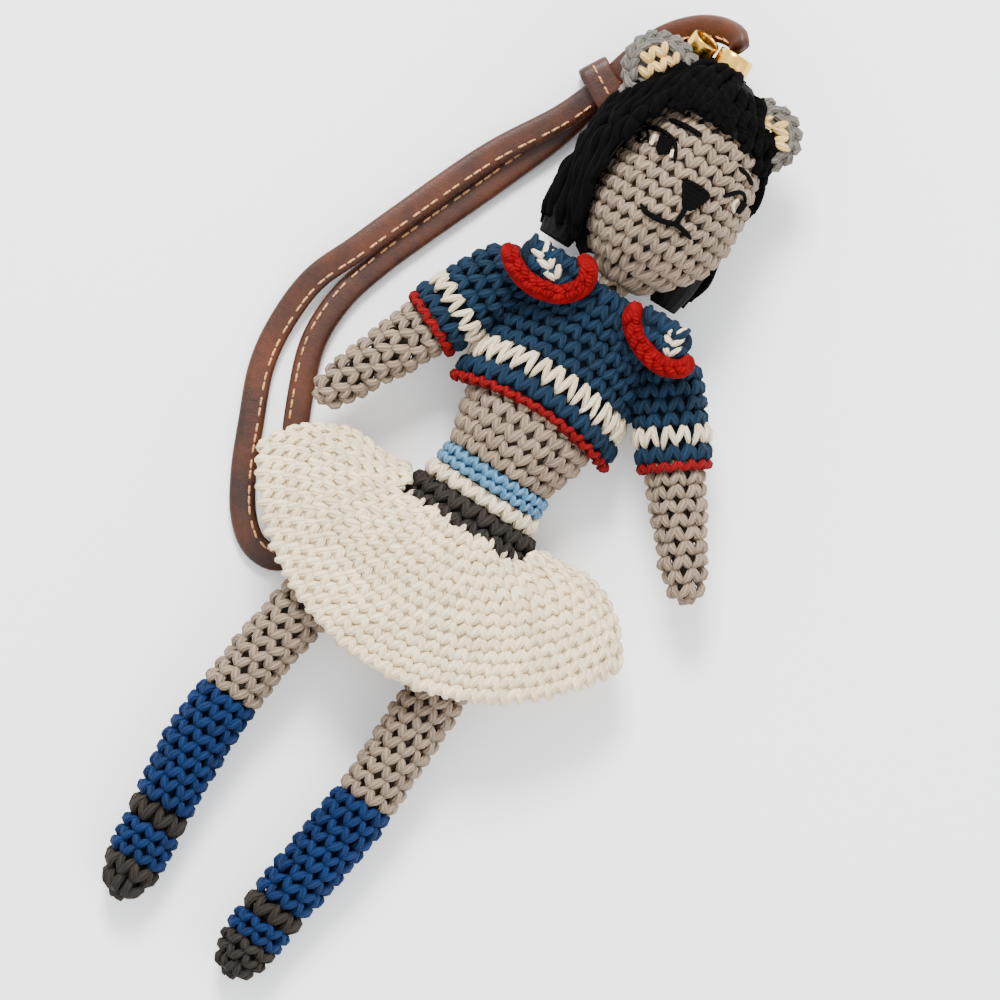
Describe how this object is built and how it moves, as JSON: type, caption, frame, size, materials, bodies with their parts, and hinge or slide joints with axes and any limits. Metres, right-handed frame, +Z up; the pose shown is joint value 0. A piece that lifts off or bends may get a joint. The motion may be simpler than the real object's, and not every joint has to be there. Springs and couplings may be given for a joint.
{
  "type": "crocheted doll charm on a wrist strap",
  "caption": "Soft crocheted cat doll in a jersey and flared skirt, hung from a stitched leather wrist strap by brass rings on its crown.",
  "frame": {"origin": "middle of the bare midriff, on the plane the doll lies on", "axes": "+Y towards the head along the body, +Z up out of the chest, +X to the doll's own left"},
  "size_m": [0.1076, 0.2261, 0.0349],
  "materials": {
    "grey_yarn": "matt plied cotton",
    "black_yarn": "matt plied cotton",
    "denim_yarn": "matt plied cotton",
    "white_yarn": "matt plied cotton",
    "red_yarn": "matt plied cotton",
    "dark_yarn": "matt plied cotton",
    "sock_yarn": "matt plied cotton",
    "ear_yarn": "matt plied cotton",
    "cream_yarn": "matt plied cotton",
    "skirt_yarn": "matt plied cotton",
    "belt_tape": "matt braided tape",
    "stuffing": "loose fibre",
    "brass": "polished",
    "leather": "satin with contrast stitching"
  },
  "bodies": {
    "torso": {"torso_skin": "grey_yarn", "torso_stuffing": "stuffing", "jersey": "denim_yarn", "jersey_stripe": "white_yarn", "jersey_hem": "denim_yarn", "jersey_trim": "red_yarn", "collar_flap_right": "denim_yarn", "collar_flap_left": "denim_yarn", "collar_border_right": "red_yarn", "collar_border_left": "red_yarn", "belt": "belt_tape", "waist_round": "skirt_yarn", "waist_band": "dark_yarn", "skirt": "skirt_yarn"},
    "head": {"head_skin": "grey_yarn", "head_stuffing": "stuffing", "wig": "black_yarn", "ear_right": "ear_yarn", "ear_left": "ear_yarn", "ear_lining_right": "cream_yarn", "ear_lining_left": "cream_yarn", "nose": "black_yarn", "mouth": "black_yarn", "brow_right": "black_yarn", "brow_left": "black_yarn", "eye_right": "black_yarn", "eye_left": "black_yarn", "brass_ring_right": "brass", "brass_ring_left": "brass", "strap": "leather", "keeper": "leather"},
    "arm_right": {"arm_skin_right": "grey_yarn", "arm_stuffing_right": "stuffing", "sleeve_right": "denim_yarn", "sleeve_stripe_right": "white_yarn", "cuff_right": "denim_yarn", "cuff_trim_right": "red_yarn"},
    "leg_right": {"leg_skin_right": "grey_yarn", "sock_right": "sock_yarn", "ankle_strap_right": "dark_yarn", "instep_right": "sock_yarn", "toe_right": "dark_yarn", "leg_stuffing_right": "stuffing"},
    "arm_left": {"arm_skin_left": "grey_yarn", "arm_stuffing_left": "stuffing", "sleeve_left": "denim_yarn", "sleeve_stripe_left": "white_yarn", "cuff_left": "denim_yarn", "cuff_trim_left": "red_yarn"},
    "leg_left": {"leg_skin_left": "grey_yarn", "sock_left": "sock_yarn", "ankle_strap_left": "dark_yarn", "instep_left": "sock_yarn", "toe_left": "dark_yarn", "leg_stuffing_left": "stuffing"}
  },
  "joints": [
    {"name": "neck_tilt", "type": "hinge", "parent": "torso", "child": "head", "pos_m": [0, 0.0376, 0.0146], "axis": [0, 0, 1], "range_deg": [-6, 3]},
    {"name": "shoulder_right", "type": "hinge", "parent": "torso", "child": "arm_right", "pos_m": [-0.021, 0.0281, 0.0125], "axis": [0, 0, 1], "range_deg": [-100, 0]},
    {"name": "shoulder_left", "type": "hinge", "parent": "torso", "child": "arm_left", "pos_m": [0.0207, 0.0278, 0.0125], "axis": [0, 0, 1], "range_deg": [0, 88]},
    {"name": "hip_right", "type": "hinge", "parent": "torso", "child": "leg_right", "pos_m": [-0.0146, -0.0354, 0.0116], "axis": [0, 0, 1], "range_deg": [-9, 6]},
    {"name": "hip_left", "type": "hinge", "parent": "torso", "child": "leg_left", "pos_m": [0.0132, -0.0354, 0.0116], "axis": [0, 0, 1], "range_deg": [-6, 9]}
  ]
}
